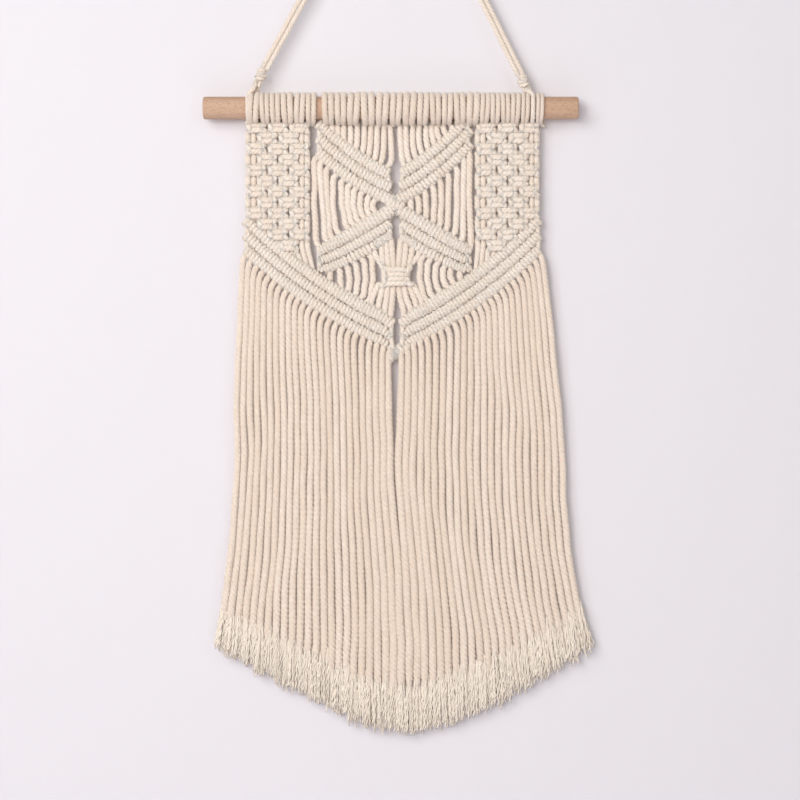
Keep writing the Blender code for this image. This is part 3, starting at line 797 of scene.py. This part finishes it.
class MACRAME_OT_heading(bpy.types.Operator):
    """Wrap the 24 lark's heads on the dowel, their bars at the back"""

    bl_idname = "macrame.heading"
    bl_label = "Heading"

    def execute(self, context):
        # painted shade: a tone of 0.9 paints the heading's cords darker as a whole
        bundle = Bundle(11, 0.9)
        dice = np.random.default_rng(12)
        for low, high in HEADS:
            middle = (low + high) / 2
            thick = min(3.0, (high - low - dice.uniform(-0.1, 0.6)) / 3.85)
            lean = dice.uniform(-0.7, 0.7)
            half = []
            for degrees, spread, ring in HEAD_WRAPS:
                a = math.radians(degrees)
                drift = lean * math.sin(math.radians(max(-90, min(90, degrees))))
                half.append((thick * spread, -ring * math.cos(a), -ring * math.sin(a), thick, drift))
            half += [(2.75, 7.4, 8.6, thick, 0.0), (2.8, 5.9, 11.6, thick, 0.0), (2.8, 5.2, 14.6, 2.1, 0.0)]
            right = [(middle + x + d, y, drop, r) for x, y, drop, r, d in half]
            left = [(middle - x + d, y, drop, r) for x, y, drop, r, d in half[:0:-1]]
            bundle.cord(left + right, squeeze=0.84)
        bundle.finish("larks_heads", cotton(), "heading")
        return {"FINISHED"}


def worker_points(shape, x, drop, wide):
    """A working strand's way through a square knot that stands at x and drop."""
    return [(x + u * wide, PANEL_Y + 0.8 * d, drop + w, 2.78) for u, w, d in shape]


def net_x(side, k):
    """Where strand k of a net hangs, counted from the panel's edge."""
    sign = sign_of(side)
    return NET_EDGE[sign] - sign * (k + 0.5) * NET_PITCH


def net_strand(side, k, start, dice):
    """A net's strand from the heading to the V: each knot takes four, and every other row is two on."""
    route = [(start, PANEL_Y + 1.2, 13.2, 2.0)]
    entry = entry_point("v", side, 0, hitch_reach("v", 0, k))
    for i in range(NET_ROWS):
        drop, first = NET_TOP + NET_ROW * i, 2 * (i % 2)
        group = (k - first) // 4
        outer = first + 4 * group
        if group < 0 or outer + 3 >= X_STRANDS:
            if drop + 3 < entry[2] - 3:
                route.append((net_x(side, k) + dice.uniform(-0.3, 0.3), PANEL_Y - 0.2, drop, 2.7))
            continue
        if drop + 4.3 > entry_point("v", side, 0, hitch_reach("v", 0, outer))[2] + 1.5:
            continue
        middle = (net_x(side, outer) + net_x(side, outer + 3)) / 2
        wide = abs(net_x(side, outer) - middle) * 1.03
        place = k - outer if side < 0 else outer + 3 - k
        jitter = np.random.default_rng(int(drop * 10) + group * 7).uniform(-0.25, 0.25)
        if place in (0, 3):
            route += worker_points(KNOT_RIGHT if place else KNOT_LEFT, middle, drop + jitter, wide)
        else:
            u = -1.9 if place == 1 else 1.9
            route += [(middle + u, PANEL_Y, drop - 2.4, 2.0), (middle + u, PANEL_Y, drop + 2.4, 2.0)]
            route.append((mix(middle + u, net_x(side, k), 0.8), PANEL_Y, drop + 4.28, 2.15))
    return route + [(*entry, 1.8)]


class MACRAME_OT_nets(bpy.types.Operator):
    """Tie the two nets of alternating square knots"""

    bl_idname = "macrame.nets"
    bl_label = "Nets"

    def execute(self, context):
        for name, side in SIDES:
            bundle = Bundle(21)
            dice = np.random.default_rng(22)
            heads = [(low + high) / 2 for low, high in HEADS if (low + high) / 2 * sign_of(side) > 64]
            starts = sorted((x + u for x in heads for u in (-2.8, 2.8)), reverse=side > 0)
            for k, start in enumerate(starts):
                bundle.cord(net_strand(side, k, start, dice), step=1.9, lay=10.5)
            bundle.finish("net_" + name, cotton(), "knotwork")
        return {"FINISHED"}


class MACRAME_OT_bands(bpy.types.Operator):
    """Tie the hitched bands: the X of four bands and the V below it"""

    bl_idname = "macrame.bands"
    bl_label = "Bands"

    def execute(self, context):
        dice = np.random.default_rng(31)
        for band in ("upper", "lower"):
            bundle = Bundle(32)
            crossed = 2 if band == "upper" else 0
            for name, side in SIDES:
                for k in range(X_STRANDS):
                    hitch_column(bundle, band, side, k, dice)
                for row in ROWS:
                    inner = 0.6 if row == crossed else INNERMOST[band][row]
                    leader_cord(bundle, band, side, row, 62.0, inner)
                inner = [(row, INNERMOST[band][row] - 1.5) for row in ROWS if row != crossed]
                turned_edge(bundle, band, side, inner)
                turned_edge(bundle, band, side, [(row, 62.2 if side < 0 else 60.2) for row in ROWS])
            bundle.finish("band_" + band, cotton(), "knotwork")
        # where the bands cross, one leader is hitched over the other
        bundle = Bundle(34)
        middle, fall = np.array([-1.3, 77.2]), np.array([0.86, 0.51])
        hitches_across(bundle, middle, fall, (-3.1, 3.1), 5.3, 1.55)
        for way in (1, -1):
            ends = [middle + fall * (t, way * t) for t in (-11, -5.5, 0, 5.5, 11)]
            bundle.cord([(x, PANEL_Y - 0.3 * way, drop, 2.3) for x, drop in ends], step=2.0)
        bundle.finish("crossing", cotton(), "knotwork")
        for name, side in SIDES:
            bundle = Bundle(33)
            for k in range(V_STRANDS):
                hitch_column(bundle, "v", side, k, dice)
            for row in ROWS:
                leader_cord(bundle, "v", side, row, 119.6, V_LEADER_ENDS[row])
            turned_edge(bundle, "v", side, [(0, 4.4), (1, 4.8), (2, 3.4)])
            turned_edge(bundle, "v", side, [(0, 119.8), (1, 120.2), (2, 120.4)])
            if side > 0:
                # at the V's point the right half's last hitches pass over the left half
                hitches_across(bundle, (0.4, 194.9), (0.85, -0.53), (-5.6, -1.9, 1.8), 4.5, 1.7)
            bundle.finish("v_band_" + name, cotton(), "knotwork")
        return {"FINISHED"}


def free_strand(bundle, start, end, middle_x, reach_out, dice):
    """A free length between two hitches, bowed sideways at its middle and arched at its ends."""
    thick = 2.75
    x0, y0, d0 = start
    x1, y1, d1 = end
    tall = d1 - d0
    arch = min(3.6, tall * 0.28)
    bow_y = dice.uniform(-1.0, 0.5)
    bow_x = middle_x - (x0 + x1) / 2
    route = [(x0, y0, d0, thick * 0.8)]
    for t, bend in ((arch / tall, 0.0), (0.3, 0.8), (0.5, 1.0), (0.7, 0.8), (1 - arch / tall, 0.0)):
        x = mix(x0, x1, t)
        x += bow_x * bend + dice.uniform(-0.4, 0.4) if bend else bow_x * 0.55 + reach_out
        route.append((x, PANEL_Y + bow_y * (0.5 + 0.5 * bend), mix(d0, d1, t), thick))
    route.append((x1, y1, d1, thick * 0.8))
    bundle.cord(route, step=1.6)


def heading_strands(bundle, name, side, dice):
    """The strands from the heading to a side of the X; the inner ones turn out late."""
    for k, x0 in enumerate(MIDDLE_STARTS[name]):
        x1, y1, drop1 = entry_point("upper", side, 0, hitch_reach("upper", 0, k), 0.4)
        sway = dice.uniform(-0.5, 0.5)
        hold = 1 + 5 * (k / 11) ** 2
        route = [(x0, 5.2, 13.0, 2.1)]
        for t, y, slot in ((0.3, 0.2, 0), (0.6, -0.5, 1), (0.85, -0.3, 2)):
            x = mix(x0, x1, t**hold) + sway * math.sin(t * math.pi)
            if k == 11:
                x = SLOT_EDGE[name][slot]
            route.append((x, PANEL_Y + y, mix(13.0, drop1, t), 2.6))
        bundle.cord(route + [(x1, y1, drop1, 1.9)], step=1.6)


def big_knot(bundle, name, side):
    """A side's strands of the big square knot: two of them work round it, two go through it."""
    middle, drop = KNOT_MIDDLE
    sign = sign_of(side)
    for k, (top, bottom) in enumerate(KNOT_STRANDS[name]):
        start = strand_end("lower", side, 2, top, -1.0)
        end = strand_end("v", side, 0, bottom)
        above = [(*start, 2.0), (start[0], PANEL_Y - 0.6, start[2] + 4.0, 2.65)]
        below = [(end[0], PANEL_Y - 0.6, end[2] - 4.5, 2.65), (*end, 2.0)]
        if k < 2:
            lane = 1 if k == 0 else -1
            points = [
                (
                    middle + u * (10.8 + 0.9 * lane), PANEL_Y + d * 1.15,
                    drop + w * 1.75 + 1.9 * lane * max(-1.0, min(1.0, w / 1.6)), 2.4,
                )
                for u, w, d in (KNOT_LEFT if sign < 0 else KNOT_RIGHT)
            ]
            if k == 0:
                points[-1] = (middle + sign * 13.6, PANEL_Y - 0.4, drop + 6.0, 2.6)
                points.append((middle + sign * 17.0, PANEL_Y - 0.6, drop + 12.5, 2.6))
        else:
            u = sign * (5.2 if k == 2 else 1.8)
            points = [
                (middle + u * 1.2, PANEL_Y, drop - 10.0, 2.6), (middle + u, PANEL_Y + 0.6, drop - 5.0, 2.2),
                (middle + u, PANEL_Y + 0.6, drop + 5.0, 2.2), (middle + u * 1.3, PANEL_Y, drop + 10.0, 2.6),
                (mix(middle + u * 1.4, end[0], 0.3), PANEL_Y - 0.2, drop + 18.0, 2.65),
            ]
        bundle.cord(above + points + below)


class MACRAME_OT_middle_strands(bpy.types.Operator):
    """Hang the free strands between the bands, and tie the big square knot of the middle"""

    bl_idname = "macrame.middle_strands"
    bl_label = "Middle strands and knot"

    def execute(self, context):
        bundle = Bundle(41)
        dice = np.random.default_rng(42)
        for name, side in SIDES:
            sign = sign_of(side)
            heading_strands(bundle, name, side, dice)
            for band, next_band, table, turn in (
                ("upper", "lower", UPPER_DIAMOND, 0.5), ("lower", "v", LOWER_DIAMOND, -0.5),
            ):
                for top, middle, bottom in table[name]:
                    start = strand_end(band, side, 2, top, -1.0)
                    end = strand_end(next_band, side, 0, bottom)
                    free_strand(bundle, start, end, sign * middle, sign * turn, dice)
        bundle.finish("middle_strands", cotton(), "knotwork")
        bundle = Bundle(43)
        for name, side in SIDES:
            big_knot(bundle, name, side)
        bundle.finish("centre_knot", cotton(), "knotwork")
        return {"FINISHED"}


def fringe_x(name, k, drop):
    """Where fringe strand k of a side hangs at a drop, once it is clear of its root."""
    edge = (-1 if name == "left" else 1) * float(np.interp(drop, *zip(*FRINGE_EDGE[name])))
    middle = float(np.interp(drop, *zip(*FRINGE_MIDDLE[name])))
    return mix(edge, middle, k / 23)


def cut_drop(name, k):
    """Drop of the shallow curve that the fringe is cut to, at strand k."""
    return 500.0 - 0.57 * (math.hypot(fringe_x(name, k, 460.0) - 7.0, 40.0) - 40.0)


def brush_start(name, k, sizes):
    """Drop at which a strand is let go into loose yarns; the outer ones are brushed less far up."""
    return cut_drop(name, k) - sizes.brushed / MM + 7.0 * (fringe_x(name, k, 460.0) / 150.0) ** 2


def fringe_strand(name, side, k, sizes):
    """A fringe strand: out from under the V's last row, over into its hang, and down to its end."""
    thick = sizes.cord / MM / 2
    seed = 100 + k + (50 if side > 0 else 0)
    dice = np.random.default_rng(seed)
    x, drop, half, along, up = row_frame("v", side, 2, hitch_reach("v", 2, k))
    root = np.array([x, drop])
    start, out = root - up * half * 0.55, root - up * (half + 1.4)
    out[0] = TIP_ROOTS[name].get(k, out[0])
    clear = max(FRINGE_CLEAR, drop + 42.0)
    target = fringe_x(name, k, clear)
    route = [
        (start[0], PANEL_Y + 0.4, start[1], thick * 0.8),
        (out[0], PANEL_Y - 1.4, out[1], thick * 0.93),
    ]
    hook = 1.3 + 3.6 * min(1.0, (23 - k) / 6, k / 4)
    for ahead in (4.5, 11.0, 22.0):
        bend = hook * (1 - math.exp(-ahead / 4.0))
        hang = mix(out[0] - up[0] * bend, target, ahead / (clear - drop))
        wide = mix(thick * 0.94, thick, min(1, ahead / 20))
        route.append((hang, PANEL_Y - 1.4 * math.exp(-ahead / 9.0), out[1] + ahead, wide))
    stop = brush_start(name, k, sizes) + dice.uniform(-3.0, 3.0) + 1.0
    drops = np.arange(out[1] + 36.0, stop - 6.0, 14.0)
    # the strand's own wander, and one that it shares with its neighbours
    aside = wave(seed + 100, drops, sizes.wander / MM, 150.0)
    aside = aside + wave(77, drops + 6.0 * k, 1.1, 210.0)
    depth = wave(seed + 200, drops, 0.9, 120.0)
    for i, d in enumerate(drops):
        share = min(1.0, (d - out[1]) / (clear - drop))
        hang = mix(out[0] - up[0] * hook, target, share) if share < 1 else fringe_x(name, k, d)
        ease = min(1.0, (i + 1) / 4)
        # where the fringe spreads, its strands fluff out and stay side by side
        spread = abs(fringe_x(name, 23, d) - fringe_x(name, 0, d)) / 23
        swell = max(thick, spread * mix(0.53, 0.6, max(0.0, k - 18) / 5 * min(1.0, d / 260.0)))
        route.append((hang + aside[i] * ease, PANEL_Y + depth[i] * ease, d, swell))
    route.append((fringe_x(name, k, stop) + aside[-1], PANEL_Y, stop, thick * 1.05))
    route.append((fringe_x(name, k, stop + 9.0) + aside[-1], PANEL_Y, stop + 9.0, thick * 0.5))
    return route


class MACRAME_OT_fringe(bpy.types.Operator):
    """Hang the 48 fringe strands from the V's lower edge"""

    bl_idname = "macrame.fringe"
    bl_label = "Fringe"

    def execute(self, context):
        for name, side in SIDES:
            # painted shade: a tone of 0.75 paints the fringe's cords darker as a whole
            bundle = Bundle(51, 0.75)
            for k in range(V_STRANDS):
                bundle.cord(fringe_strand(name, side, k, context.scene.macrame_sizes), step=1.6)
            bundle.finish("fringe_" + name, cotton(), "fringe")
        return {"FINISHED"}


def loose_yarn(x0, start, end, lean, u, v, dice):
    """A crimped yarn of a brushed end, which stands at u and v across the strand and spreads."""
    phase, curl = dice.uniform(0, 6.28), dice.uniform(0.4, 1.0)
    turns = dice.uniform(0.9, 1.25)
    route = []
    for t in np.linspace(0, 1, 16):
        grow = min(1.0, t * 1.15)
        wide, deep = mix(2.4, 5.8, grow), mix(2.4, 3.3, grow)
        crimp = curl * min(1.0, t * 4)
        swing = phase + (end - start) * t / 8.5 * TURN * turns
        route.append((
            x0 + u * wide + lean * t + crimp * 0.8 * math.sin(swing),
            PANEL_Y + v * deep + crimp * 0.8 * math.cos(swing),
            mix(start, end, t),
            mix(0.9, 0.62, t) * (0.3 if t == 0 else 1.0),
        ))
    return route


class MACRAME_OT_brushed_ends(bpy.types.Operator):
    """Comb out the ends of the fringe into loose yarns"""

    bl_idname = "macrame.brushed_ends"
    bl_label = "Brushed ends"

    def execute(self, context):
        sizes = context.scene.macrame_sizes
        for name, side in SIDES:
            bundle = Bundle(61)
            for k in range(V_STRANDS):
                dice = np.random.default_rng(400 + k + (50 if side > 0 else 0))
                cut = cut_drop(name, k) + dice.uniform(-3.0, 2.0)
                first = cut + brush_start(name, k, sizes) - cut_drop(name, k)
                x0 = fringe_x(name, k, first)
                lean = dice.uniform(-1.2, 1.2) + (fringe_x(name, k, first + 30.0) - x0) * 1.3
                for i in range(sizes.yarns):
                    a, r = dice.uniform(0, TURN), math.sqrt(dice.uniform(0, 1))
                    u, v = r * math.cos(a), r * math.sin(a)
                    start = first + dice.uniform(-3.0, 6.0) - (9.0 * dice.uniform() if i % 4 == 0 else 0.0)
                    end = cut + 0.4 * abs(u) - 2.0 + dice.normal(0, 2.2)
                    end = end - (6 * dice.uniform() if dice.uniform() < 0.3 else 0)
                    route = loose_yarn(x0, start, end, lean, u, v, dice)
                    bundle.cord(route, step=2.5, profile=np.ones(3), lay=1e6)
            bundle.finish("brushed_ends_" + name, cotton(brushed=True), "fringe")
        return {"FINISHED"}


class MACRAME_OT_dowel(bpy.types.Operator):
    """Give the dowel its sanded beech"""

    bl_idname = "macrame.dowel"
    bl_label = "Dowel"

    def execute(self, context):
        colours = context.scene.macrame_finishes
        wood = beech_rod((colours.beech_light, colours.beech_deep, colours.beech_fleck))
        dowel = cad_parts["dowel"]
        if not dowel.material_slots:
            raise RuntimeError("the dowel has no material slot")
        for held in dowel.material_slots:
            held.material = wood
        return {"FINISHED"}


def add_light(name, place, size, power, colour):
    """A soft area light turned towards the panel's middle."""
    way = np.array(LIT_POINT) - np.array(place)
    way /= np.linalg.norm(way)
    bpy.ops.object.select_all(action="DESELECT")
    bpy.ops.object.light_add(type="AREA", location=place)
    light = bpy.context.object
    light.name = name
    light.data.shape = "RECTANGLE"
    light.data.size, light.data.size_y = size
    light.data.energy = power
    light.data.color = colour
    light.rotation_euler = (math.acos(-way[2]), 0, math.atan2(way[1], way[0]) - math.pi / 2)


def add_plane(name, place, tilt, paint):
    """A wide painted plane of the stage, with its place in its mesh."""
    bpy.ops.object.select_all(action="DESELECT")
    bpy.ops.mesh.primitive_plane_add(size=6.0, location=place, rotation=(tilt, 0, 0))
    plane = bpy.context.object
    plane.name = name
    bpy.ops.object.transform_apply()
    plane.data.materials.append(paint)
    return plane


class MACRAME_OT_stage(bpy.types.Operator):
    """Set the wall, the floor and the soft lights"""

    bl_idname = "macrame.stage"
    bl_label = "Stage"

    def execute(self, context):
        stage = context.scene.macrame_stage
        colour = context.scene.macrame_finishes.wall
        wall = add_plane("wall", (0, stage.wall, 1.7), math.pi / 2, wall_paint(colour, True))
        floor = add_plane("floor", (0, stage.wall - 3.0, -1.3), 0, wall_paint(colour, False))
        for light in LIGHTS:
            add_light(*light)
        world = bpy.data.worlds.new("studio")
        context.scene.world = world
        world.use_nodes = True
        back = world.node_tree.nodes["Background"]
        back.inputs["Color"].default_value = linear("#F6F1EB")
        back.inputs["Strength"].default_value = 0.40
        context.scene.view_settings.view_transform = "Standard"
        return {"FINISHED"}


class MACRAME_PT_panel(bpy.types.Panel):
    """The making of the hanging, step by step"""

    bl_idname = "MACRAME_PT_panel"
    bl_label = "Macrame Wall Hanging"
    bl_space_type = "VIEW_3D"
    bl_region_type = "UI"
    bl_category = "Macrame"

    def draw(self, context):
        scene = context.scene
        for group in (scene.macrame_sizes, scene.macrame_finishes, scene.macrame_stage):
            box = self.layout.box()
            for name in group.__annotations__:
                box.prop(group, name)
        for step in STEPS:
            self.layout.operator(step.bl_idname)


STEPS = (
    MACRAME_OT_camera, MACRAME_OT_hanging_cord, MACRAME_OT_heading, MACRAME_OT_nets, MACRAME_OT_bands,
    MACRAME_OT_middle_strands, MACRAME_OT_fringe, MACRAME_OT_brushed_ends, MACRAME_OT_dowel,
    MACRAME_OT_stage,
)
CLASSES = (MacrameSizes, MacrameFinishes, MacrameStage, *STEPS, MACRAME_PT_panel)


def register():
    for cls in CLASSES:
        bpy.utils.register_class(cls)
    bpy.types.Scene.macrame_sizes = PointerProperty(type=MacrameSizes)
    bpy.types.Scene.macrame_finishes = PointerProperty(type=MacrameFinishes)
    bpy.types.Scene.macrame_stage = PointerProperty(type=MacrameStage)


def unregister():
    del bpy.types.Scene.macrame_stage
    del bpy.types.Scene.macrame_finishes
    del bpy.types.Scene.macrame_sizes
    for cls in reversed(CLASSES):
        bpy.utils.unregister_class(cls)


def main():
    register()
    bpy.ops.macrame.camera()
    bpy.ops.macrame.hanging_cord()
    bpy.ops.macrame.heading()
    bpy.ops.macrame.nets()
    bpy.ops.macrame.bands()
    bpy.ops.macrame.middle_strands()
    bpy.ops.macrame.fringe()
    bpy.ops.macrame.brushed_ends()
    bpy.ops.macrame.dowel()
    bpy.ops.macrame.stage()


if __name__ == "__main__":
    main()
